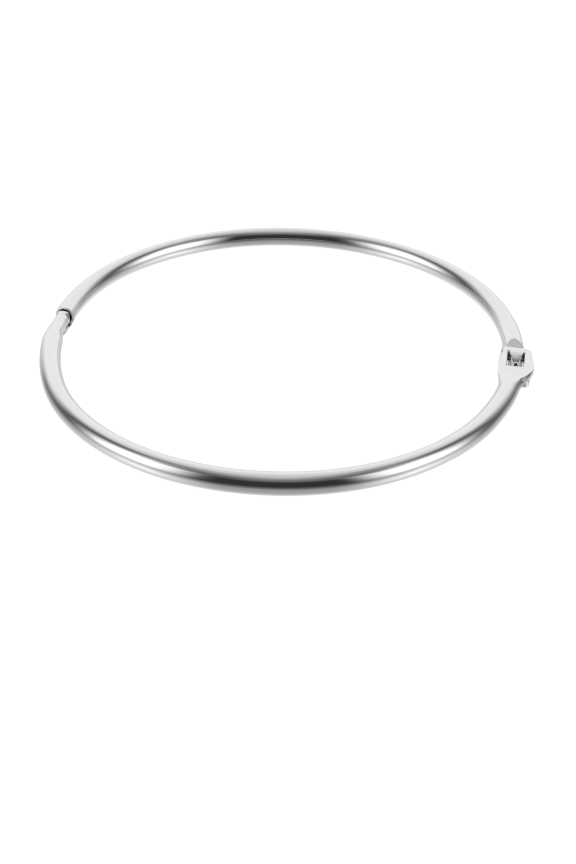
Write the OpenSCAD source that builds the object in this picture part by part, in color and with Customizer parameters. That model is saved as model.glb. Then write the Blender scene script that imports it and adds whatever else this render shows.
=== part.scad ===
// Binder ring: two half rings of rolled steel tube, joined by a rivet and closed by a snap clasp.
// The frame's origin is the ring's centre on its mid-plane. The clasp lies at +X, the hinge at -X,
// the back half at +Y, the front half at -Y, and +Z is the ring's axis.

/* [Ring] */
// Clear width inside the closed ring, between clasp and hinge
ring_inner_w = 76.2; // [60:0.1:90]
// Straight stretch of each half beside the clasp and the hinge
straight = 2; // [1.6:0.1:2.4]
// Outside diameter of the rolled tube
tube_d = 3.65; // [3.5:0.05:3.8]
// Thickness of the tube's wall
tube_wall = 0.4; // [0.3:0.05:0.4]
// Width of the seam that rolling leaves along the underside
seam_gap = 0.12; // [0.08:0.01:0.3]
// Length over which the seam is closed at each end of a tube
seam_stop = 4; // [3:0.5:8]

/* [Clasp] */
// Distance from the clasp's middle to the end of the hollow tube
fold_reach = 6.8; // [6.7:0.05:7.4]
// Distance from the clasp's middle to the top of the ramp pressed into the tube
ramp_top = 6.45; // [6.2:0.05:6.6]
// Distance from the clasp's middle to the foot of the ramp
ramp_reach = 4.9; // [4.85:0.05:5.2]
// Height of the shoulder at the ramp's foot above the ring's mid-plane
shoulder_h = 1.1; // [1:0.05:1.3]
// Distance from the clasp's middle to each plate's tip
tip_reach = 4.65; // [4.2:0.05:4.75]
// Distance from the clasp's middle to each plate's widest point
lobe_reach = 1.9; // [1.5:0.1:2.5]
// Length over which each plate's inner side keeps its full width
lobe_run = 1.6; // [0.8:0.1:2]
// Width of each plate at its widest point
lobe_w = 6.15; // [5.8:0.05:6.5]
// How far the plate's middle lies outside the tube's middle there
lobe_shift = 0.525; // [0.3:0.025:0.6]
// Width of each plate at its tip
tip_w = 4.55; // [4.3:0.05:5]
// How far the plate's middle lies outside the tube's middle there
tip_shift = 0.575; // [0.4:0.025:0.8]
// Width of each plate at the ramp's foot
foot_w = 4.6; // [4.2:0.1:4.8]
// Width of the plate where it ends inside the folded tube
tail_w = 2.5; // [2.2:0.1:2.8]
// Thickness of each plate
plate_t = 1.1; // [1:0.05:1.2]
// Gap between the two lapped plates
plate_gap = 0.1; // [0.06:0.01:0.16]
// Radius of the tip's corner on the ring's outer side, seen from above
tip_outer_r = 1.5; // [0.8:0.1:1.8]
// Radius of the tip's corner on the ring's inner side, seen from above
tip_inner_r = 0.5; // [0.3:0.1:0.8]

/* [Catch] */
// How far the windows and tongues lie outside the tube's middle
catch_shift = 0.4; // [0.2:0.05:0.5]
// Distance from the clasp's middle to the root of each tongue
tongue_root = 3.3; // [3.1:0.05:3.4]
// Thickness of each tongue
tongue_t = 0.55; // [0.4:0.05:0.6]
// Width of each tongue at its root
tongue_root_w = 2.5; // [2.1:0.1:2.5]
// Width of each tongue at its end
tongue_end_w = 0.9; // [0.7:0.1:1.5]
// Radius of the tongue's bend, along its middle
tongue_bend_r = 2.8; // [2.7:0.05:2.9]
// Angle through which the tongue is bent
tongue_bend_deg = 74; // [68:1:76]
// Width of the window in each plate
window_w = 2.85; // [2.7:0.05:3.1]
// Clearance between a tongue and the end of the window that it passes through
window_clear = 0.15; // [0.1:0.01:0.3]

/* [Hinge] */
// Distance from the mouth's middle to the rivet's axis
rivet_reach = 1.1; // [1:0.05:1.4]
// How far the mouth is cut back on the ring's outer side
mouth_back = 0.6; // [0.2:0.05:0.8]
// How far the mouth reaches forward on the ring's inner side
mouth_front = 0.05; // [0:0.05:0.5]
// Radius of the fall from the mouth's side walls to the lip's edges
mouth_fall = 0.8; // [0.5:0.05:0.9]
// Distance from the clasp line to the end of the lip
lip_reach = 4.3; // [4:0.1:4.8]
// Height of the lip's edges below the ring's mid-plane
lip_drop = 0.92; // [0.86:0.01:1]
// Clearance between the lip's edges and the neck that turns over them
neck_gap = 0.08; // [0.06:0.01:0.12]
// Diameter of the front half's neck
neck_d = 2.6; // [2.5:0.05:2.65]
// Diameter of the ball in which the neck ends
ball_d = 2.7; // [2.66:0.01:2.74]
// Distance from the rivet's axis to where the neck starts to widen
neck_run = 3.7; // [3.6:0.1:4.2]
// Length over which the neck widens to the full tube
taper_run = 3.6; // [3:0.1:6]
// Diameter of the rivet's shank
rivet_d = 0.9; // [0.8:0.05:1]
// Diameter of the rivet's foot under the lip
foot_d = 1.6; // [1.5:0.05:1.8]
// Thickness of the rivet's foot
foot_t = 0.22; // [0.18:0.01:0.24]
// How far the foot stands out below the tube
foot_proud = 0.05; // [0.03:0.01:0.08]
// Diameter of the rivet's head inside the ball
head_d = 1.3; // [1.2:0.05:1.4]
// Thickness of the rivet's head
head_t = 0.4; // [0.3:0.05:0.5]
// Thickness of the ball's floor, between the lip and the rivet's head
floor_t = 0.5; // [0.45:0.05:0.6]
// Radial clearance between the rivet and the lip's hole
lip_clear = 0.04; // [0.02:0.01:0.08]
// Clearance round the rivet in the ball, in which the ball also rocks
neck_clear = 0.08; // [0.07:0.01:0.1]
// Length of the crimp ear on the lip's outer edge
ear_l = 0.7; // [0.4:0.1:1]
// How far the crimp ear stands out beyond the tube
ear_out = 0.35; // [0.2:0.05:0.5]

/* [Hidden] */
$fn = 96;
merge = 0.3;   // how far joined forms run into each other
inset = 0.02;  // how far a joined form lies inside its neighbour's faces
tube_r = tube_d / 2;
ring_r = (ring_inner_w + tube_d) / 2;
neck_r = neck_d / 2;
ball_r = ball_d / 2;
rivet_r = rivet_d / 2;
foot_r = foot_d / 2;
head_r = head_d / 2;
plate_near = -plate_gap / 2;        // the lower plate's face towards the other plate
plate_far = plate_near - plate_t;
pivot = [-ring_r, -rivet_reach, 0];
relief_r = lip_reach - rivet_reach + merge;
neck_low = neck_gap - lip_drop;     // the flat under the neck
head_low = neck_low + floor_t + neck_clear / 2;
foot_low = -foot_proud - tube_r;

// Angle round the half ring of a point that lies v in front of the clasp line
function turn(v) = (v - straight) / ring_r * 180 / PI;

// How far the tube's middle has turned in towards the ring's centre at v behind the clasp's middle
function bow(v) = ring_r - sqrt(ring_r * ring_r - (v - straight) * (v - straight));

// Curved part of a half ring of rolled tube between two angles, open along its seam
module arc_tube(from, to) {
    translate([0, straight, 0]) difference() {
        rotate([0, 0, from]) rotate_extrude(angle = to - from) translate([ring_r, 0]) difference() {
            circle(tube_r);
            circle(tube_r - tube_wall);
        }
        rotate([0, 0, from + turn(straight + seam_stop)])
            rotate_extrude(angle = to - from - 2 * turn(straight + seam_stop))
            translate([ring_r - seam_gap / 2, -tube_r - merge]) square([seam_gap, tube_wall + 2 * merge]);
    }
}

// Quarter circle of radius r about (x, y), starting at angle a
function tip_corner(x, y, r, a) = [for (k = [0:6]) [x + r * cos(a + 15 * k), y + r * sin(a + 15 * k)]];

// Outline of the lower plate, from its tip in front to the ramp's foot behind
module plate_outline() {
    polygon(concat(
        tip_corner(tip_shift - tip_w / 2 + tip_inner_r, tip_inner_r - tip_reach, tip_inner_r, 180),
        tip_corner(tip_shift + tip_w / 2 - tip_outer_r, tip_outer_r - tip_reach, tip_outer_r, 270), [
        [lobe_shift + lobe_w / 2, lobe_reach - merge],
        [lobe_shift + lobe_w / 2, lobe_reach + merge],
        [foot_w / 2 - bow(ramp_reach), ramp_reach],
        [tail_w / 2 - bow(ramp_top), ramp_top],
        [-tail_w / 2 - bow(ramp_top), ramp_top],
        [-foot_w / 2 - bow(ramp_reach), ramp_reach],
        [lobe_shift - lobe_w / 2, lobe_reach + lobe_run],
        [lobe_shift - lobe_w / 2, lobe_reach - merge]]));
}

// The tube's end, folded solid, with a ramp pressed in above and a rise to the plate's face below
module ramp() {
    above = atan2(tube_r - shoulder_h, ramp_top - ramp_reach);
    below = atan2(tube_r + plate_far, ramp_top - ramp_reach);
    difference() {
        translate([0, straight, 0]) rotate([0, 0, turn(ramp_reach)])
            rotate_extrude(angle = turn(fold_reach + merge) - turn(ramp_reach))
            translate([ring_r, 0]) circle(tube_r - inset);
        translate([ring_r - tube_d, ramp_reach, shoulder_h]) rotate([above, 0, 0])
            translate([0, -merge, 0]) cube([2 * tube_d, tube_d, tube_d]);
        translate([ring_r - tube_d, ramp_reach, plate_far + inset]) rotate([-below, 0, 0])
            translate([0, -merge, -tube_d]) cube([2 * tube_d, tube_d, tube_d]);
    }
}

// The tongue is a strip bent about an axis above it, cut to a taper seen from above
tongue_axis = plate_far + tongue_t / 2 + tongue_bend_r;
tongue_under = tongue_bend_r - tongue_t / 2;
tongue_over = tongue_bend_r + tongue_t / 2;

module tongue() {
    reach = tongue_over * sin(tongue_bend_deg);
    intersection() {
        translate([0, -tongue_root, tongue_axis]) rotate([0, 90, 0])
            rotate_extrude(angle = tongue_bend_deg) translate([tongue_under, catch_shift - tongue_root_w / 2])
            square([tongue_t, tongue_root_w]);
        translate([catch_shift, -tongue_root, plate_far - merge]) linear_extrude(2 * tongue_axis) polygon([
            [-tongue_root_w / 2, -merge], [tongue_root_w / 2, -merge],
            [tongue_end_w / 2, reach], [-tongue_end_w / 2, reach]]);
    }
    translate([catch_shift - tongue_root_w / 2, -tongue_root - merge, plate_far])
        cube([tongue_root_w, merge, tongue_t]);
}

// The other plate's tongue crosses this plate's near face here, and the window ends beyond it
cross_angle = acos((tongue_axis + plate_near) / tongue_under);
window_end = tongue_root - tongue_under * sin(cross_angle) + window_clear;

// The flattened end of a half ring, with its plate below the mid-plane and its tongue turned up
module clasp_end() {
    translate([ring_r, 0, 0]) {
        difference() {
            translate([0, 0, plate_far]) linear_extrude(plate_t) plate_outline();
            translate([catch_shift - window_w / 2, -tongue_root, plate_far - merge])
                cube([window_w, tongue_root + window_end, plate_t + 2 * merge]);
        }
        tongue();
    }
    ramp();
}

// Everything above the lip's edges in front of the slanting mouth, less the fall of its side walls
module mouth_cut() {
    slant = atan2(mouth_back + mouth_front, tube_d);
    translate([-ring_r, (mouth_back - mouth_front) / 2, -lip_drop]) rotate([0, 0, -slant])
        rotate([90, 0, -90]) linear_extrude(2 * (tube_d + lip_reach), center = true) difference() {
            square([2 * lip_reach, 2 * tube_d]);
            difference() {
                square(mouth_fall);
                translate([mouth_fall, mouth_fall]) circle(mouth_fall);
            }
        }
}

// Straight stretch of tube beside the hinge, cut open to a spoon-shaped lip that carries the rivet
module mouth() {
    difference() {
        translate([-ring_r, straight + merge, 0]) rotate([90, 0, 0]) difference() {
            cylinder(r = tube_r - inset, h = straight + merge + lip_reach);
            translate([0, 0, -merge])
                cylinder(r = tube_r - tube_wall + inset, h = straight + lip_reach + 3 * merge);
        }
        mouth_cut();
        translate([-ring_r, tube_r - lip_reach, -2 * tube_r]) linear_extrude(2 * tube_r) difference() {
            translate([-tube_d, -tube_d]) square([2 * tube_d, tube_d]);
            circle(tube_r);
        }
        translate([pivot.x, pivot.y, -2 * tube_r]) cylinder(r = rivet_r + lip_clear, h = 2 * tube_r - lip_drop);
        translate([pivot.x, pivot.y, -2 * tube_r])
            cylinder(r = foot_r + lip_clear, h = 2 * tube_r + foot_low + foot_t + lip_clear);
    }
}

// Small ear, pinched out of the lip's outer edge
module ear() {
    root = sqrt(tube_r * tube_r - lip_drop * lip_drop) - tube_wall / 2;
    translate([-ring_r - tube_r - ear_out, pivot.y - ear_l / 2, -lip_drop - tube_wall / 2])
        cube([tube_r + ear_out - root, ear_l, tube_wall / 2 - inset]);
}

module back_half() {
    color([0.82, 0.83, 0.84]) {
        arc_tube(turn(fold_reach), 180);
        clasp_end();
        mouth();
        ear();
    }
}

// One ring of the taper at v in front of the clasp line, between the straight neck and the curved tube
function taper_ring(v, steps) =
    let (
        t = max(0, min(1, (v - rivet_reach - neck_run) / taper_run)),
        grown = t * t * (3 - 2 * t),
        r = neck_r + (tube_r - neck_r) * grown - inset,
        bend = turn(v)
    )
    [for (k = [0:steps - 1])
        let (
            rho = ring_r + r * cos(360 * k / steps),
            z = r * sin(360 * k / steps),
            on_neck = [-rho, -v, z],
            on_arc = [-rho * cos(bend), -straight - rho * sin(bend), z]
        )
        on_neck + (on_arc - on_neck) * grown];

// Swaged taper from the neck to the tube, as a skin over rings of points
module taper() {
    steps = 24;
    first = rivet_reach + neck_run - merge;
    last = rivet_reach + neck_run + taper_run + merge;
    count = 8;
    points = [for (i = [0:count]) each taper_ring(first + (last - first) * i / count, steps)];
    sides = [for (i = [0:count - 1], k = [0:steps - 1])
        let (a = i * steps + k, b = i * steps + (k + 1) % steps, c = b + steps, d = a + steps)
        each [[a, b, c], [a, c, d]]];
    caps = [[for (k = [steps - 1:-1:0]) k], [for (k = [0:steps - 1]) count * steps + k]];
    polyhedron(points, concat(sides, caps), convexity = 4);
}

// Neck and ball of the front half, flattened below to turn over the lip and hollow round the rivet
module neck() {
    difference() {
        union() {
            translate(pivot) rotate([90, 0, 0]) sphere(ball_r);
            translate(pivot) rotate([90, 0, 0]) cylinder(r = neck_r, h = neck_run);
        }
        translate([pivot.x, pivot.y, -2 * tube_r]) cylinder(r = relief_r, h = 2 * tube_r + neck_low);
        translate([pivot.x, pivot.y, -tube_r]) cylinder(r = rivet_r + neck_clear, h = tube_r);
        translate([pivot.x, pivot.y, neck_low + floor_t]) cylinder(r = head_r + neck_clear, h = head_t + neck_clear);
    }
}

module front_half() {
    color([0.8, 0.81, 0.82]) {
        mirror([0, 1, 0]) arc_tube(turn(fold_reach), 180 - turn(rivet_reach + neck_run + taper_run));
        rotate([180, 0, 0]) clasp_end();
        neck();
        taper();
    }
}

// Shank with a flat foot under the lip and a head inside the ball
module hinge_rivet() {
    color([0.7, 0.71, 0.72]) translate([pivot.x, pivot.y, 0]) {
        translate([0, 0, foot_low]) cylinder(r = foot_r, h = foot_t);
        translate([0, 0, foot_low]) cylinder(r = rivet_r, h = head_low + head_t / 2 - foot_low);
        translate([0, 0, head_low]) cylinder(r = head_r, h = head_t);
    }
}

back_half();
front_half();
hinge_rivet();
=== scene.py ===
import math
from functools import partial

import bmesh
import bpy
import numpy as np
from mathutils import Matrix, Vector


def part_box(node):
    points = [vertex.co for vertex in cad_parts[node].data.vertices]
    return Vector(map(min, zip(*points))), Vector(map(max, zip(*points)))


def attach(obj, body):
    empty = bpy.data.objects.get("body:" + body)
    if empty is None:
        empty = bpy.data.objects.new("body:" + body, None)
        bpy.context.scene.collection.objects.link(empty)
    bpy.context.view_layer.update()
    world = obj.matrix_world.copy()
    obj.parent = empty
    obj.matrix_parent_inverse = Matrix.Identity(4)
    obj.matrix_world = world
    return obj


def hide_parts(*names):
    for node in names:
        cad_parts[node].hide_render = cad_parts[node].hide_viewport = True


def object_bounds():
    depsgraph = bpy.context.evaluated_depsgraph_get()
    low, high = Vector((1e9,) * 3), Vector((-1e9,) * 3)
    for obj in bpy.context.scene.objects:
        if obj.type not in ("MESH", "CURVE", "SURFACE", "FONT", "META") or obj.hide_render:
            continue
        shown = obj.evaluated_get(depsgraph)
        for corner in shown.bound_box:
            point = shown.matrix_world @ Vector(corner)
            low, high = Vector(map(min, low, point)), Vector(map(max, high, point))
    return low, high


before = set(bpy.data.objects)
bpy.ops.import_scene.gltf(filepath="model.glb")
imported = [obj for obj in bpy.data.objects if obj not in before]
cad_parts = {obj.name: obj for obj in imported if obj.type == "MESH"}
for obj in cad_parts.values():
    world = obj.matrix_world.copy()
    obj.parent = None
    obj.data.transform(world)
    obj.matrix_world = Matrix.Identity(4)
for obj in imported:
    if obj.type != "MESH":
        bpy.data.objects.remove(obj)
plain_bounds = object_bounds()

# ------------------------------------------------------------------ sizes, in millimetres
MM = 0.001
back_low, back_high = (np.array(c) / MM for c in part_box("back_half"))

tube_r = back_high[2]                        # outside radius of the rolled tube
wall = 0.4                                   # its wall
straight = 2.0                               # straight stretch beside clasp and hinge
ring_r = back_high[1] - tube_r - straight    # radius of the tube's middle line
half_turn = math.pi * ring_r                 # length of the curved stretch

# Where each half strays from the true arc: middle, width and size of each bend.
back_bends = ((30, 10, 0.14), (65, 20, -0.22), (112, 10, 0.15))
front_bends = ((14.5, 5, -0.12), (62, 12, -0.08), (113, 11, -0.42))

seam_half = 0.06                             # half the width of the rolling seam
seam_depth = 0.3
seam_stop = 4.0                              # stretch at each end where the seam is closed

# The clasp end is drawn as the lower plate. Reaches are measured along the half ring from the clasp's
# middle, and out and in are half widths towards the ring's outside and inside.
plate_near = -0.05                           # lower plate's face towards the other plate
plate_far = -1.15                            # and its face away from it
base_reach = 3.6                             # base line, where the plate's grids meet the ramp's
ramp_reach, ramp_top = 4.77, 6.45            # foot and top of the ramp from the plate up to the tube
fold_reach = 6.8                             # end of the clasp end's folds
shoulder_h, shoulder_r = 1.035, 0.05         # height and rounding of the step at the ramp's foot
blend_from, blend_to = 4.0, 8.7              # stretch over which the plate's far side turns into tube
tip_reach = -back_low[1]
lobe_reach, lobe_run = 1.9, 1.6              # start of the widest stretch, and its length on the inner side
lobe_out, lobe_in = back_high[0] - ring_r, 2.55
tip_out, tip_in = 2.85, 1.8
foot_out, foot_in = 2.62, 2.3                # at the ramp's foot
bevel_from, bevel_rate, bevel_fall = 2.3, 0.165, 1.2    # start, growth and fall of the outer side's bevel
plate_shift = 0.4                            # catch lies this far outside the tube's middle
edge_r = 0.12                                # rounding of the plate's long edges
tip_outer_r = (0.8, 1.5)                     # outer tip corner from above, of the back and the front half
tip_inner_r = 0.25                           # inner tip corner
window_half = 1.425                          # half the window's width
window_tip, window_base = 3.3, 1.76          # the window's ends in front of and behind the clasp's middle
window_r = 0.3                               # the window's corners
rim_r = 0.1                                  # rounding of the window's edges
worn_w, worn_h = 0.45, 0.4                   # wider rounding of the far edge along the window's inner side

tongue_t, tongue_bend, tongue_deg = 0.55, 2.8, 74.0     # thickness, bending radius and angle
tongue_root_w, tongue_end_w = 2.5, 0.9

rivet_reach = 1.1                            # the rivet's axis, before the end of the half ring
mouth_back, mouth_front, mouth_fall = 0.6, 0.05, 0.8    # slant of the mouth, and the fall to the lip's edge
lip_reach, lip_drop = 4.3, 0.94              # the lip's length, and its edge below the tube's middle
lip_rim_r = 0.1                              # rounding of the wall's end
ball_r, neck_low = 1.35, -0.84               # ball at the front half's end, and the neck's flat underside
taper_end = 9.7                              # where the neck has widened to the tube
ear_out, ear_low = 1.29, -1.03               # middle of the crimp ear, outside and below the tube's middle
ear_x, ear_y, ear_z = 0.885, 0.35, 0.12      # and its half sizes


# ------------------------------------------------------------------ helpers
def smooth(t):
    """3t^2 - 2t^3, held at 0 and 1 outside 0..1."""
    t = np.clip(t, 0.0, 1.0)
    return t * t * (3 - 2 * t)


def smoother(t):
    """6t^5 - 15t^4 + 10t^3, held at 0 and 1 outside 0..1."""
    t = np.clip(t, 0.0, 1.0)
    return t ** 3 * (t * (6 * t - 15) + 10)


def soft_min(a, b, k):
    """The smaller of a and b, rounded over a width k where they cross."""
    return 0.5 * (a + b - np.sqrt((a - b) ** 2 + k * k))


def soft_max(a, b, k):
    """The larger of a and b, rounded over a width k where they cross."""
    return -soft_min(-a, -b, k)


def path(u):
    """Middle line of a half ring: u runs from the clasp's middle, along a straight stretch, round a
    half circle and along a second straight stretch to the hinge. Gives x, y and the outward direction."""
    u = np.asarray(u, float)
    a = np.clip((u - straight) / ring_r, 0.0, math.pi)
    before = np.minimum(u, straight)
    after = np.maximum(u - straight - half_turn, 0.0)
    x = ring_r * np.cos(a)
    y = before + ring_r * np.sin(a) - after
    return x, y, np.cos(a), np.sin(a)


def wander(u, bends):
    """How far a rolled half ring strays outside the true arc at u: bell curves, faded out at both ends."""
    strayed = sum(size * np.exp(-((u - at) / width) ** 2) for at, width, size in bends)
    return strayed * smoother((u - base_reach) / 6) * smoother((straight + half_turn - u) / 8)


def place(u, rho, z, bends=()):
    """Points at u along the half ring, rho outside its middle line and z above it."""
    x, y, nx, ny = path(u)
    rho = rho + wander(u, bends)
    return np.stack([x + rho * nx, y + rho * ny, z + 0 * u], -1)


class Skin:
    """Grids of points gathered into one mesh and welded where they share places."""

    def __init__(self):
        self.points, self.faces, self.count = [], [], 0

    def grid(self, p, wrap=False, flip=False):
        """Adds a rows x columns grid of points as quads; wrap joins the last column to the first."""
        rows, cols = p.shape[:2]
        n = np.arange(rows * cols).reshape(rows, cols) + self.count
        if wrap:
            n = np.concatenate([n, n[:, :1]], 1)
        quads = np.stack([n[:-1, :-1], n[:-1, 1:], n[1:, 1:], n[1:, :-1]], -1).reshape(-1, 4)
        self.points.append(p.reshape(-1, 3))
        self.faces.append(quads[:, ::-1] if flip else quads)
        self.count += rows * cols

    def cap(self, ring, flip=False):
        """Closes a ring of points with a fan round its middle."""
        middle = ring.mean(0)
        self.grid(np.stack([ring, np.repeat(middle[None], len(ring), 0)]), wrap=True, flip=flip)

    def build(self, name, turn_over=False):
        """Welds the grids, points the faces outwards and makes the object."""
        p = np.concatenate(self.points)
        if turn_over:
            p = p * [1, -1, -1]
        mesh = bpy.data.meshes.new(name)
        mesh.from_pydata((p * MM).tolist(), [], np.concatenate(self.faces).tolist())
        bm = bmesh.new()
        bm.from_mesh(mesh)
        bmesh.ops.remove_doubles(bm, verts=bm.verts, dist=2e-7)
        bmesh.ops.dissolve_degenerate(bm, edges=bm.edges, dist=1e-7)
        bmesh.ops.recalc_face_normals(bm, faces=bm.faces)
        bm.to_mesh(mesh)
        bm.free()
        mesh.shade_smooth()
        obj = bpy.data.objects.new(name, mesh)
        bpy.context.collection.objects.link(obj)
        return obj


# ------------------------------------------------------------------ tube and clasp end
RUN = np.array([-1, -.95, -.85, -.65, -.4, -.22, -.175, -.14, 0, .14, .175, .22, .4, .65, .85, .95, 1])
NEAR = np.linspace(0, 1, 9)       # steps of a side from the near run's end to the plate's near edge
FAR = np.linspace(0, 1, 27)[1:]   # steps of a side from there to the far run's end
run_on_tube = 0.35


def edge_profile():
    """The plate's rounded edge from its near to its far face: a quarter circle, a straight side and a
    quarter circle, as (distance beyond the faces' ends, height)."""
    a = NEAR * math.pi / 2
    b = np.clip(2 * FAR - 1, 0, 1) * math.pi / 2
    top, low = plate_near - edge_r, plate_far + edge_r
    out = np.concatenate([edge_r * np.sin(a), edge_r * np.cos(b)])
    side = top + (low - top) * np.clip(2 * FAR, 0, 1)
    z = np.concatenate([top + edge_r * np.cos(a), side - edge_r * np.sin(b)])
    return out, z


def bevel(u, height):
    """How far the outer side stands back at u and a height: a slope that is widest at the far face and
    grows from the lobe on."""
    depth = bevel_rate * soft_max(u - bevel_from, 0, 0.3)
    slope = soft_max(depth - (height - plate_far) / bevel_fall, 0, 0.06)
    return slope * smooth((u + 1) / 2) * np.clip((plate_near - height) / edge_r, 0, 1)


def side_line(u, tip, lobe, foot, run):
    """One edge of the plate at u: lines from tip to lobe, along it for run and on to the ramp, joined
    softly."""
    u0, u1 = lobe_reach - 0.3, lobe_reach + run
    lead = lobe + (lobe - tip) * (u - u0) / (tip_reach + u0)
    trail = lobe - (lobe - foot) * (u - u1) / (ramp_reach - u1)
    return soft_min(soft_min(lead, lobe, 0.1), trail, 0.2)


def side_out(u):
    """Outer edge of the plate at its near face."""
    return side_line(u, tip_out, lobe_out, foot_out, 0.3)


def side_in(u):
    """Inner edge of the plate."""
    return side_line(u, tip_in, lobe_in, foot_in, lobe_run)


def section(u, seam_side):
    """Closed section of a half ring at each u. Its near side is the plate's flat face up to the shoulder
    and then a circle cut by the ramp's plane; its far side blends from the plate's rounded rectangle to
    the circle. The columns are the near run, the outer side, the far run and the inner side. seam_side is
    +1 or -1 for a seam along the near or the far run."""
    u = u[:, None]
    d = u - ramp_reach
    on_tube = d > -0.003
    lip = np.clip(1 - d / shoulder_r, 0, 1)
    plane = shoulder_h + (tube_r - shoulder_h) / (ramp_top - ramp_reach) * d
    plane = plane - shoulder_r * (1 - np.sqrt(1 - lip ** 2))
    flat = smoother((blend_to - u) / (blend_to - blend_from))
    chord = np.sqrt(np.maximum(tube_r ** 2 - np.clip(plane, 0, tube_r) ** 2, 0))
    near_half = np.maximum(chord, run_on_tube)
    run = RUN[None]
    start, end = np.arccos(near_half / tube_r), -math.acos(run_on_tube / tube_r)
    equator = math.asin(plate_near / tube_r)
    side = np.concatenate([start + (equator - start) * NEAR, equator + (end - equator) * FAR + 0 * u], 1)
    far_half = run_on_tube + 0 * u
    round_x = [near_half * run, tube_r * np.cos(side), -far_half * run, -tube_r * np.cos(side)]
    crown = np.sqrt(tube_r ** 2 - (near_half * run) ** 2)
    cut_crown = np.where(plane < tube_r + 0.2, soft_min(crown, plane, 0.03), crown)
    keel = -np.sqrt(tube_r ** 2 - (far_half * run) ** 2)
    round_z = [cut_crown, tube_r * np.sin(side), keel, tube_r * np.sin(side)]
    hold = np.minimum(u, ramp_reach + 1.0)
    out, inn = side_out(hold) - edge_r, side_in(hold) - edge_r
    step, height = edge_profile()
    flat_run = np.where(run > 0, out * run, inn * run)
    lean = bevel(hold, height)
    out_far = out - lean[:, -1:]
    flat_x = [flat_run, out + step - lean, -np.where(run > 0, inn * run, out_far * run), -(inn + step)]
    flat_z = [plate_near + 0 * flat_run, height + 0 * u, plate_far + 0 * flat_run, height + 0 * u]
    near = np.where(on_tube, 0.0, 1.0)
    share = [near + 0 * run, np.concatenate([near + 0 * NEAR, flat + 0 * FAR], 1), flat + 0 * run]
    share.append(share[1])
    cut = [slice(None), slice(1, -1), slice(None), slice(-2, 0, -1)]
    x, z = (np.concatenate([(r + (f - r) * s)[:, c] for r, f, s, c in zip(rounded, flats, share, cut)], 1)
            for rounded, flats in ((round_x, flat_x), (round_z, flat_z)))
    seam_on = smooth(u - fold_reach - seam_stop) * smooth(straight + half_turn - seam_stop - u)
    slit = smooth((seam_half * 1.35 - np.abs(x)) / (seam_half * 0.6)) * (np.sign(z) == seam_side)
    z = z - seam_side * seam_depth * slit * seam_on
    return x, z


def outline(base, outer_r):
    """The plate's outline from its base line's outer corner round the tip to the inner corner, as rows of
    (u, rho), with the outward direction of each point."""
    long_steps, arc_steps, tip_steps = 26, 12, 7
    a = np.linspace(0, math.pi / 2, arc_steps + 1)[1:]
    t = np.linspace(0, 1, long_steps)
    end_out, end_in = outer_r - tip_reach, tip_inner_r - tip_reach
    u_out, u_in = base + (end_out - base) * t, end_in + (base - end_in) * t
    o, i = side_out(np.array([end_out]))[0] - outer_r, side_in(np.array([end_in]))[0] - tip_inner_r
    tip = np.linspace(o, -i, tip_steps)[1:-1]
    pts = np.concatenate([
        np.stack([u_out, side_out(u_out)], -1),
        np.stack([end_out - outer_r * np.sin(a), o + outer_r * np.cos(a)], -1),
        np.stack([0 * tip - tip_reach, tip], -1),
        np.stack([end_in - tip_inner_r * np.cos(a - a[0]), -i - tip_inner_r * np.sin(a - a[0])], -1),
        np.stack([u_in, -side_in(u_in)], -1)])
    d = np.gradient(pts, axis=0)
    d /= np.linalg.norm(d, axis=1, keepdims=True)
    normal = np.stack([d[:, 1], -d[:, 0]], -1)
    normal[0], normal[-1] = (0, 1), (0, -1)
    return pts, normal, (long_steps, arc_steps, tip_steps)


def window_path(counts):
    """The window's rounded rectangle with as many points as the outline, and then the base run."""
    long_steps, arc_steps, tip_steps = counts
    arc_in = 8
    lo, hi = -window_tip, window_base
    r = window_r
    o, i = plate_shift + window_half, plate_shift - window_half
    a = np.linspace(0, math.pi / 2, arc_in)
    first = np.stack([hi - r + r * np.cos(a), o - r + r * np.sin(a)], -1)
    rest = long_steps - arc_in
    along = (hi - r) + (lo + r - (hi - r)) * np.linspace(0, 1, rest + 1)[1:]
    outer = np.concatenate([first, np.stack([along, 0 * along + o], -1)])
    b = np.linspace(0, math.pi / 2, arc_steps + 1)[1:]
    corner = np.stack([lo + r - r * np.sin(b), o - r + r * np.cos(b)], -1)
    tip = np.linspace(o - r, i + r, tip_steps)[1:-1]
    tip = np.stack([0 * tip + lo, tip], -1)
    half = np.concatenate([outer, corner])
    other = half[::-1].copy()
    other[:, 1] = o + i - other[:, 1]
    run = RUN[1:-1]
    base_run = np.stack([0 * run + hi, plate_shift + (window_half - r) * run], -1)
    return np.concatenate([half, tip, other]), base_run


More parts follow.
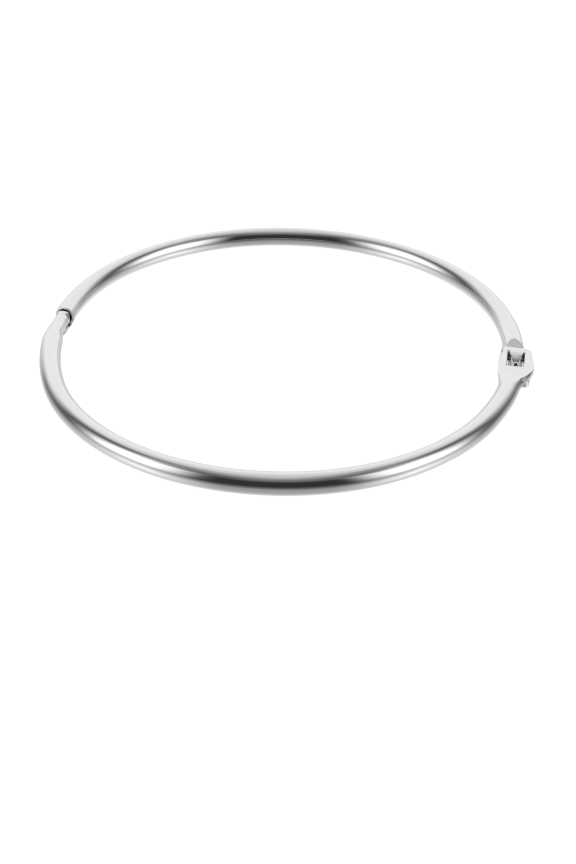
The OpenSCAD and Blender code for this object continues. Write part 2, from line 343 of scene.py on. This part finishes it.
def clasp_plate(skin, outer_r):
    """Plate with its window, as grids that run from the window's edge to the outline: upper face, edge,
    lower face and window wall. The base line meets the section grid of the ramp."""
    base = base_reach
    pts, normal, counts = outline(base, outer_r)
    win, base_win = window_path(counts)
    inset = pts - normal * edge_r
    out, inn = (side(np.array([base]))[0] - edge_r for side in (side_out, side_in))
    run = RUN[1:-1]
    base_line = np.stack([0 * run + base, np.where(run > 0, out * run, inn * run)], -1)
    rim = np.concatenate([inset, base_line])
    hole = np.concatenate([win, base_win])
    inward = rim - hole
    ring = np.roll(hole, -1, 0) - np.roll(hole, 1, 0)
    ring /= np.linalg.norm(ring, axis=1, keepdims=True) + 1e-12
    away = np.stack([ring[:, 1], -ring[:, 0]], -1)
    away *= np.sign((away * inward).sum(1, keepdims=True))
    worn = smooth(-away[:, 1] * 2 - 1) * (np.arange(len(hole)) < len(pts))
    near_start, far_start = hole + away * rim_r, hole + away * (rim_r + (worn_w - rim_r) * worn)[:, None]
    rows = np.array([0, 0.06, 0.3, 0.6, 0.9, 0.97, 1.0])[:, None, None]
    face_lean = bevel(rim[:, 0], plate_far) * (rim[:, 1] > 0)
    face_lean[len(pts):] *= np.clip(RUN[1:-1], 0, 1)
    for z, start, flip in ((plate_near, near_start, False), (plate_far, far_start, True)):
        face = start + (rim - start) * rows
        lies = face[..., 1] - (np.where(face[..., 1] > 0, face_lean * rows[..., 0], 0) if flip else 0)
        skin.grid(place(face[..., 0], lies, z + 0 * face[..., 0]), wrap=True, flip=flip)
    a = np.linspace(0, math.pi / 2, 9)[:, None]
    far_w, far_h = rim_r + (worn_w - rim_r) * worn, rim_r + (worn_h - rim_r) * worn
    off = np.concatenate([rim_r * (1 - np.sin(a)) + 0 * worn, far_w * (1 - np.sin(a[::-1]))])
    near_z = plate_near - rim_r + rim_r * np.cos(a) + 0 * worn
    z = np.concatenate([near_z, plate_far + far_h * (1 - np.cos(a[::-1]))])
    wall_uv = hole[None] + away[None] * off[..., None]
    skin.grid(place(wall_uv[..., 0], wall_uv[..., 1], z), wrap=True, flip=True)
    step, height = edge_profile()
    edge = inset[None] + normal[None] * step[:, None, None]
    lies = edge[..., 1] - bevel(inset[None, :, 0], height[:, None]) * (pts[:, 1] > 0)
    skin.grid(place(edge[..., 0], lies, height[:, None] + 0 * edge[..., 0]))


def tongue(skin):
    """Bent strip: a rounded rectangle carried along an arc that starts flat and turns up, narrowing."""
    a = np.radians(np.concatenate([[0, 0, 0], np.linspace(0, tongue_deg, 40), [tongue_deg, tongue_deg]]))
    back = np.concatenate([[0.5, 0.14, 0.1], np.zeros(42)])
    sunk = np.concatenate([[0.15, 0.006, -0.004], np.zeros(42)])
    ahead = np.concatenate([np.zeros(43), [0.05, 0.07]])
    shrink = np.concatenate([np.ones(43), [0.75, 0.4]])
    taper = a / a[-1]
    w = (tongue_root_w + (tongue_end_w - tongue_root_w) * taper) / 2 * (0.3 * shrink + 0.7)
    c = np.linspace(0, math.pi / 2, 5)
    r = (0.12 + 0.14 * smooth(2 * a / a[-1]))[:, None]
    t = tongue_t / 2 * shrink[:, None]
    corner = [(1, 1, 0), (-1, 1, 1), (-1, -1, 2), (1, -1, 3)]
    cols_x, cols_n = [], []
    for sx, sn, k in corner:
        ang = c + k * math.pi / 2
        cols_x.append(sx * (w[:, None] - r) + r * np.cos(ang))
        cols_n.append(sn * np.maximum(t - r, 0) + r * np.sin(ang) * np.minimum(1, t / r))
    x, n = np.concatenate(cols_x, 1), np.concatenate(cols_n, 1)
    axis_z = plate_far + tongue_t / 2 + tongue_bend
    radius = tongue_bend - n
    u = -window_tip - back[:, None] + radius * np.sin(a)[:, None] + ahead[:, None] * np.cos(a)[:, None]
    z = axis_z - radius * np.cos(a)[:, None] + ahead[:, None] * np.sin(a)[:, None] + sunk[:, None]
    p = place(u, plate_shift + x, z)
    skin.grid(p, wrap=True)
    skin.cap(p[0], flip=True)
    skin.cap(p[-1])


def stations(last):
    """Places of the sections: close together on the ramp, then spread along the tube to last."""
    return np.concatenate([
        np.linspace(base_reach, ramp_reach - 0.02, 8), [ramp_reach - 0.005],
        ramp_reach + shoulder_r * np.array([0, .04, .12, .3, .55, .8, 1.05]),
        np.linspace(ramp_reach + 0.2, ramp_top + 0.15, 22), np.linspace(ramp_top + 0.25, blend_to + 1, 14),
        np.linspace(blend_to + 1.3, last, 190)])


# ------------------------------------------------------------------ the back half's mouth and lip
def mouth_edge(beta):
    """Where the wall ends for a column that leaves the tube at beta from its lowest line: first round the
    lip's end, then along the lip's edge, up the fall of the side wall and along the slanting mouth. Gives
    the angle from the lowest line and y, for the outer side (+) and the inner side (-)."""
    side = np.sign(beta) + (beta == 0)
    b = np.abs(beta)
    edge = math.acos(lip_drop / tube_r)
    slope = (mouth_back + mouth_front) / (2 * tube_r)

    def mouth_y(angle, sgn):
        return (mouth_back - mouth_front) / 2 + slope * tube_r * np.sin(angle) * sgn

    top = math.acos(np.clip((lip_drop - mouth_fall) / tube_r, -1, 1))
    k = np.radians([0, 38, 72, 96, 180])         # where the four stretches start, and the top line
    s1, s2, s3, s4 = (np.clip((b - k[i]) / (k[i + 1] - k[i]), 0, 1) for i in range(4))
    angle = edge * s1 + (top - edge) * (1 - np.cos(s3 * math.pi / 2)) + (math.pi - top) * s4
    x = tube_r * np.sin(np.minimum(angle, edge))
    end_y = -lip_reach + tube_r - np.sqrt(tube_r ** 2 - x ** 2)
    fall_y = mouth_y(edge, side) - mouth_fall
    y = end_y + (fall_y - end_y) * s2 * (s1 >= 1)
    arc_y = mouth_y(angle, side) - mouth_fall * (1 - np.sin(s3 * math.pi / 2))
    y = np.where(b > k[2], arc_y, y)
    return angle * side, y


def inside_angle(angle):
    """Angle on the wall's inside that lies as high as this angle on its outside, from the lip's edge to
    just under the tube's middle, and passes evenly into the same angle below and above."""
    heights = np.linspace(lip_drop, lip_drop - mouth_fall, 5)
    outside = np.concatenate([[0], np.arccos(heights / tube_r), [1.75, math.pi]])
    inside = np.concatenate([[0], np.arccos(heights / (tube_r - wall)), [1.75, math.pi]])
    return np.sign(angle) * np.interp(np.abs(angle), outside, inside)


def mouth(skin, x, z):
    """Wall of the mouth and lip: straight lines on the unrolled tube, from the tube's last section to the
    wall's end, rounded over the rim and back along the inside to a hollow."""
    beta = np.arctan2(x, -z)
    angle, y = mouth_edge(beta)
    length = np.hypot(y - straight, (angle - beta) * tube_r)
    gone = np.linspace(0, 1, 26)[:-1]
    left = lip_rim_r * np.array([1.0, 0.5, 0.15, 0.0])
    tau = np.concatenate([gone[:, None] * (1 - 1.2 * lip_rim_r / length), 1 - left[:, None] / length])
    drop = np.concatenate([0 * gone, lip_rim_r - np.sqrt(lip_rim_r ** 2 - (lip_rim_r - left) ** 2)])
    ang = beta + (angle - beta) * tau
    yy = straight + (y - straight) * tau

    def points(r, an, yv):
        return np.stack([-ring_r - r * np.sin(an), yv, -r * np.cos(an)], -1)

    outer = points((tube_r - drop)[:, None], ang, yy)
    inner = points((tube_r - wall + drop)[:, None], ang + (inside_angle(ang) - ang) * smooth(tau), yy)
    skin.grid(outer, wrap=True)
    skin.grid(np.stack([outer[-1], inner[-1]]), wrap=True)
    skin.grid(inner, wrap=True, flip=True)
    deep = np.linspace(straight, straight + 7, 8)[:, None]
    hollow = points(tube_r - wall, beta[None] + 0 * deep, deep + 0 * beta[None])
    skin.grid(hollow, wrap=True, flip=False)
    skin.cap(hollow[-1])


def ear(skin):
    """Small crimp ear on the lip's outer side: a tab with rounded edges, sunk into the wall. Its rows and
    columns are those of an ellipsoid drawn out towards its corners by a square root."""
    turn = np.linspace(0, 2 * math.pi, 25)[:-1][None]
    rise = np.linspace(-1, 1, 15)[1:-1, None] * math.pi / 2
    circle = (np.cos(turn), np.sin(turn), np.cos(rise), np.sin(rise))
    across, along, width, height = (np.sign(t) * np.sqrt(np.abs(t)) for t in circle)
    x = -ring_r - ear_out - ear_x * width * across
    y = -rivet_reach + ear_y * width * along
    z = ear_low + ear_z * height + 0 * turn
    p = np.stack([x, y, z], -1)
    skin.grid(p, wrap=True)
    skin.cap(p[0], flip=True)
    skin.cap(p[-1])


def build_back_half():
    """Clasp plate, tongue, tube and mouth of the back half as one skin."""
    skin = Skin()
    u = stations(straight + half_turn)
    x, z = section(u, -1)
    skin.grid(place(u[:, None] + 0 * x, x, z, back_bends), wrap=True)
    clasp_plate(skin, tip_outer_r[0])
    tongue(skin)
    mouth(skin, x[-1], z[-1])
    ear(skin)
    return skin.build("back_half_skin")


def neck(skin, start, x, z):
    """Neck and ball, drawn upside down as the whole half is: rings that start as the tube's last section and
    are drawn in by a smoothed profile, with their near side cut flat. The ball is a sphere round the
    rivet, and its far half swells beyond the rivet to a sixth-power round. v is the distance to the half
    ring's end."""
    fine_from = 1.8
    shut = math.pi / 2 * np.linspace(0, 1, 22)[1:-1]
    on_neck = np.linspace(taper_end, fine_from, 60)
    to_rivet = rivet_reach + (fine_from - rivet_reach) * (1 - np.linspace(0, 1, 5)[1:])
    v = np.concatenate([on_neck, to_rivet, rivet_reach - ball_r * np.sin(shut)])
    profile = np.interp(v, [2.0, 3.0, 4.4, 5.6, 6.7, 7.8, 8.8, taper_end],
                        [1.31, 1.32, 1.36, 1.46, 1.6, 1.75, 1.82, tube_r])
    ball = np.sqrt(np.maximum(ball_r ** 2 - (v - rivet_reach) ** 2, 0))
    r = np.where(v < rivet_reach, ball, profile)
    kernel = np.hanning(9)[1:-1]
    body = v > rivet_reach + 0.1
    padded = np.pad(r[body], 3, mode="edge")
    r[body] = np.convolve(padded, kernel / kernel.sum(), "valid")
    angle = np.arctan2(z, x)
    rho = r[:, None] * np.cos(angle)[None]
    height = r[:, None] * np.sin(angle)[None]
    flank = np.hypot(rho, np.minimum(v - rivet_reach, 0)[:, None]) / ball_r
    blunt = (flank ** 6 + (height / ball_r) ** 6) ** (-1 / 6) - 1
    swell = 1 + blunt * (height < 0) * smooth((rivet_reach - v) / 0.7)[:, None]
    rho, height = rho * swell, height * swell
    along = half_turn + 2 * straight - rivet_reach - (v[:, None] - rivet_reach) * swell
    floor = -neck_low + 3 * smooth(v - 4.5)[:, None]
    height = soft_min(height, floor, 0.05)
    p = place(along, rho, height, front_bends)
    p[0] = place(start, x, z, front_bends)
    skin.grid(p, wrap=True)
    skin.cap(p[-1])


def build_front_half():
    """The same clasp end and tube turned over, run out into a swaged neck and a ball over the lip."""
    skin = Skin()
    u = stations(half_turn + 2 * straight - taper_end)
    x, z = section(u, 1)
    skin.grid(place(u[:, None] + 0 * x, x, z, front_bends), wrap=True)
    clasp_plate(skin, tip_outer_r[1])
    tongue(skin)
    neck(skin, u[-1:], x[-1], z[-1])
    return skin.build("front_half_skin", turn_over=True)


back_skin = build_back_half()
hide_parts("back_half")
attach(back_skin, "back_half")
front_skin = build_front_half()
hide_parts("front_half")
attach(front_skin, "front_half")


# ------------------------------------------------------------------ shader nodes
def math_node(tree, operation, *values, clamp=False):
    """Math node on numbers and sockets; gives its output."""
    node = tree.nodes.new("ShaderNodeMath")
    node.operation, node.use_clamp = operation, clamp
    for socket, value in zip(node.inputs, values):
        if isinstance(value, (int, float)):
            socket.default_value = value
        else:
            tree.links.new(value, socket)
    return node.outputs[0]


def colour_mix(tree, factor, a, b):
    """Mix node that goes from a to b by the factor, each a colour or a socket; gives its output."""
    node = tree.nodes.new("ShaderNodeMix")
    node.data_type = "RGBA"
    for name, value in (("Factor", factor), ("A", a), ("B", b)):
        if isinstance(value, tuple):
            node.inputs[name].default_value = value
        else:
            tree.links.new(value, node.inputs[name])
    return node.outputs["Result"]


# ------------------------------------------------------------------ nickel plate
def plated_finish():
    """Finish shared by all plated pieces: soft waves of the plating, polishing lines along the ring and
    scattered fine pits. Gives the change of roughness, the share of dulled metal and the bent normal."""
    group = bpy.data.node_groups.new("plated_finish", "ShaderNodeTree")
    for name, low, high in (("Waves", 0.0, 0.001), ("Lines", 0.0, 0.001)):
        socket = group.interface.new_socket(name, in_out="INPUT", socket_type="NodeSocketFloat")
        socket.min_value, socket.max_value = low, high
    for name, kind in (("Roughness", "Float"), ("Dulled", "Float"), ("Normal", "Vector")):
        group.interface.new_socket(name, in_out="OUTPUT", socket_type="NodeSocket" + kind)
    new, link, calc = group.nodes.new, group.links.new, partial(math_node, group)
    given, result = new("NodeGroupInput"), new("NodeGroupOutput")

    def noise(vector, scale, detail):
        node = new("ShaderNodeTexNoise")
        node.inputs["Scale"].default_value = scale
        node.inputs["Detail"].default_value = detail
        link(vector, node.inputs["Vector"])
        return node.outputs[0]

    coords = new("ShaderNodeTexCoord").outputs["Object"]
    split, joined = new("ShaderNodeSeparateXYZ"), new("ShaderNodeCombineXYZ")
    link(coords, split.inputs[0])
    x, y, z = split.outputs
    reach = calc("SQRT", calc("ADD", calc("MULTIPLY", x, x), calc("MULTIPLY", y, y)))
    drawn_out = 25                               # polishing lines are this many times as long as wide
    around = calc("MULTIPLY", calc("ARCTAN2", y, x), ring_r * MM / drawn_out)
    for value, socket in zip((around, reach, z), joined.inputs):
        link(value, socket)

    waves = noise(coords, 650, 1)
    lines = noise(joined.outputs[0], 9000, 2)
    haze = noise(coords, 260, 3)
    pits = new("ShaderNodeTexVoronoi")
    pits.inputs["Scale"].default_value = 1900
    link(coords, pits.inputs["Vector"])
    pit_size, pitted_from = 0.16, 0.56           # share of a cell, and the haze above which pits lie
    pit = calc("LESS_THAN", pits.outputs["Distance"], pit_size)
    pit = calc("MULTIPLY", pit, calc("GREATER_THAN", haze, pitted_from))
    bump = new("ShaderNodeBump")
    bump.inputs["Distance"].default_value = 1.0
    line_height = calc("MULTIPLY", lines, given.outputs["Lines"])
    height = calc("MULTIPLY_ADD", waves, given.outputs["Waves"], line_height)
    link(calc("MULTIPLY_ADD", pit, -2e-7, height), bump.inputs["Height"])
    rough = calc("MULTIPLY_ADD", haze, 0.08, calc("MULTIPLY", lines, 0.03))
    link(calc("MULTIPLY_ADD", pit, 0.12, rough), result.inputs["Roughness"])
    dulled = calc("MULTIPLY_ADD", pit, 0.35, calc("MULTIPLY", haze, 0.5), clamp=True)
    link(dulled, result.inputs["Dulled"])
    link(bump.outputs[0], result.inputs["Normal"])
    return group


def nickel(name, finish, bright, dull, roughness, waves, lines):
    """Nickel plate between a bright and a dull tone, with the plated finish over a base roughness."""
    material = bpy.data.materials.new(name)
    material.use_nodes = True
    tree = material.node_tree
    shader = tree.nodes["Principled BSDF"]
    shader.inputs["Metallic"].default_value = 1.0
    plated = tree.nodes.new("ShaderNodeGroup")
    plated.node_tree = finish
    plated.inputs["Waves"].default_value = waves
    plated.inputs["Lines"].default_value = lines
    bright_tone, dull_tone = (bright, bright, bright * 0.998, 1), (dull, dull, dull * 0.985, 1)
    tone = colour_mix(tree, plated.outputs["Dulled"], bright_tone, dull_tone)
    total = math_node(tree, "ADD", plated.outputs["Roughness"], roughness)
    tree.links.new(tone, shader.inputs["Base Color"])
    tree.links.new(total, shader.inputs["Roughness"])
    tree.links.new(plated.outputs["Normal"], shader.inputs["Normal"])
    return material


finish = plated_finish()
bright_nickel = nickel("bright_nickel", finish, 0.92, 0.87, 0.0, 1.4e-6, 3e-8)
rivet_nickel = nickel("rivet_nickel", finish, 0.86, 0.78, 0.08, 3e-6, 1e-7)
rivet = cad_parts["hinge_rivet"]
for piece, metal in ((back_skin, bright_nickel), (front_skin, bright_nickel), (rivet, rivet_nickel)):
    piece.data.materials.clear()
    piece.data.materials.append(metal)


# ------------------------------------------------------------------ floor, studio and camera
view_azimuth, view_elevation, view_roll = 10.5, 30.355, 0.93      # degrees
view_distance = 235.24
view_lens, view_shift = 84.06, (0.0093, -0.158)
floor_half, floor_gap = 30.0, 0.0001         # metres: half the floor's width, and its distance under the ring
floor_glow = 0.75


def toward(azimuth, elevation):
    """Unit direction at an azimuth to the right of the line of sight and an elevation."""
    a, e = math.radians(azimuth - view_azimuth), math.radians(elevation)
    return (math.sin(a) * math.cos(e), math.cos(a) * math.cos(e), math.sin(e))


def build_floor():
    """Plain pale floor that glows a little, so that shadows on it stay faint."""
    level = plain_bounds[0][2] - floor_gap
    mesh = bpy.data.meshes.new("floor")
    corners = [(x * floor_half, y * floor_half, level) for x, y in ((-1, -1), (1, -1), (1, 1), (-1, 1))]
    mesh.from_pydata(corners, [], [(0, 1, 2, 3)])
    floor = bpy.data.objects.new("floor", mesh)
    bpy.context.collection.objects.link(floor)
    material = bpy.data.materials.new("pale_floor")
    material.use_nodes = True
    shader = material.node_tree.nodes["Principled BSDF"]
    shader.inputs["Base Color"].default_value = (0.8, 0.8, 0.8, 1)
    shader.inputs["Roughness"].default_value = 1.0
    shader.inputs["Specular IOR Level"].default_value = 0.0
    shader.inputs["Emission Color"].default_value = (1, 1, 1, 1)
    shader.inputs["Emission Strength"].default_value = floor_glow
    mesh.materials.append(material)
    floor.visible_glossy = False


def grey(shown):
    """Light, as a colour, for a shown brightness of 0 to about 1."""
    return (((shown + 0.055) / 1.055) ** 2.4,) * 3 + (1,)


# Shown brightness of the sky by elevation, and the cards and soft boxes laid over it.
SKY = {-90: 0.78, -50: 0.85, -12: 0.64, 0: 0.45, 25: 0.86, 70: 0.55, 90: 0.73}
CARDS = {  # azimuths, half width, elevation, half height, softness of both, shown brightness
    "backdrop": ((0,), 42, 20, 32, 12, 14, 0.95),
    "backdrop_top": ((0,), 42, 65, 16, 30, 30, 0.88),
    "backdrop_foot": ((0,), 45, -43, 20, 30, 12, 0.94),
    "dark_room": ((180,), 42, 12, 50, 17, 22, 0.2),
    "table_front": ((180,), 75, -48, 30, 18, 26, 0.64),
    "dark_corners": ((-130, 126), 20, 50, 16, 20, 20, 0.12),
    "side_boxes": ((-112, 115), 22, 25, 26, 14, 12, 1.1),
    "low_boxes": ((-114, 114), 12, -36, 20, 30, 20, 1.12),
    "side_flags": ((-72, 72), 14, 30, 32, 15, 12, 0.36)}


def build_studio():
    """Soft studio light as a sky: bands by elevation, then the cards and soft boxes, each over the last."""
    world = bpy.data.worlds.new("studio")
    bpy.context.scene.world = world
    world.use_nodes = True
    tree = world.node_tree
    tree.nodes.clear()
    new, link, calc = tree.nodes.new, tree.links.new, partial(math_node, tree)
    coords = new("ShaderNodeTexCoord")

    def along(direction):
        node = new("ShaderNodeVectorMath")
        node.operation = "DOT_PRODUCT"
        node.inputs[1].default_value = direction
        link(coords.outputs["Generated"], node.inputs[0])
        return node.outputs["Value"]

    def inside(offset, half, soft):
        edge = new("ShaderNodeMapRange")
        edge.interpolation_type = "SMOOTHSTEP"
        edge.inputs["From Min"].default_value = math.radians(half + soft)
        edge.inputs["From Max"].default_value = math.radians(half - soft)
        link(calc("ABSOLUTE", offset), edge.inputs["Value"])
        return edge.outputs[0]

    turned = calc("ARCTAN2", along(toward(90, 0)), along(toward(0, 0)))
    raised = calc("ARCSINE", along((0, 0, 1)))
    bands = new("ShaderNodeValToRGB")
    ramp = bands.color_ramp
    while len(ramp.elements) < len(SKY):
        ramp.elements.new(0.5)
    for element, (elevation, shown) in zip(ramp.elements, SKY.items()):
        element.position = elevation / 180 + 0.5
        element.color = grey(shown)
    link(calc("MULTIPLY_ADD", raised, 1 / math.pi, 0.5), bands.inputs[0])
    value = bands.outputs["Color"]
    cards = [(azimuth, *card[1:]) for card in CARDS.values() for azimuth in card[0]]
    for azimuth, half_w, elevation, half_h, soft_w, soft_h, shown in cards:
        aside = calc("WRAP", calc("SUBTRACT", turned, math.radians(azimuth)), math.pi, -math.pi)
        above = calc("SUBTRACT", raised, math.radians(elevation))
        share = calc("MULTIPLY", inside(aside, half_w, soft_w), inside(above, half_h, soft_h))
        value = colour_mix(tree, share, value, grey(shown))
    seen = new("ShaderNodeLightPath").outputs["Is Camera Ray"]
    value = colour_mix(tree, seen, value, grey(1.0))    # past the floor's edge the backdrop is plain
    background = new("ShaderNodeBackground")
    link(value, background.inputs["Color"])
    output = new("ShaderNodeOutputWorld")
    link(background.outputs[0], output.inputs["Surface"])


def build_camera():
    """Camera at the viewing angle, aimed at the ring's centre, with the frame shifted to its place."""
    camera = bpy.data.cameras.new("camera")
    camera.sensor_fit = "HORIZONTAL"
    camera.sensor_width = 36
    camera.lens = view_lens
    camera.shift_x, camera.shift_y = view_shift
    camera.clip_start = 0.001
    obj = bpy.data.objects.new("camera", camera)
    bpy.context.collection.objects.link(obj)
    a, e, roll = (math.radians(angle) for angle in (view_azimuth, view_elevation, view_roll))
    sight = np.array([math.sin(a) * math.cos(e), -math.cos(a) * math.cos(e), math.sin(e)])
    obj.location = sight * view_distance * MM
    aim = Matrix.Rotation(a, 4, "Z") @ Matrix.Rotation(math.pi / 2 - e, 4, "X")
    aim = aim @ Matrix.Rotation(roll, 4, "Z")
    obj.rotation_euler = aim.to_euler()
    bpy.context.scene.camera = obj


build_floor()
build_studio()
build_camera()
bpy.context.scene.view_settings.view_transform = "Standard"
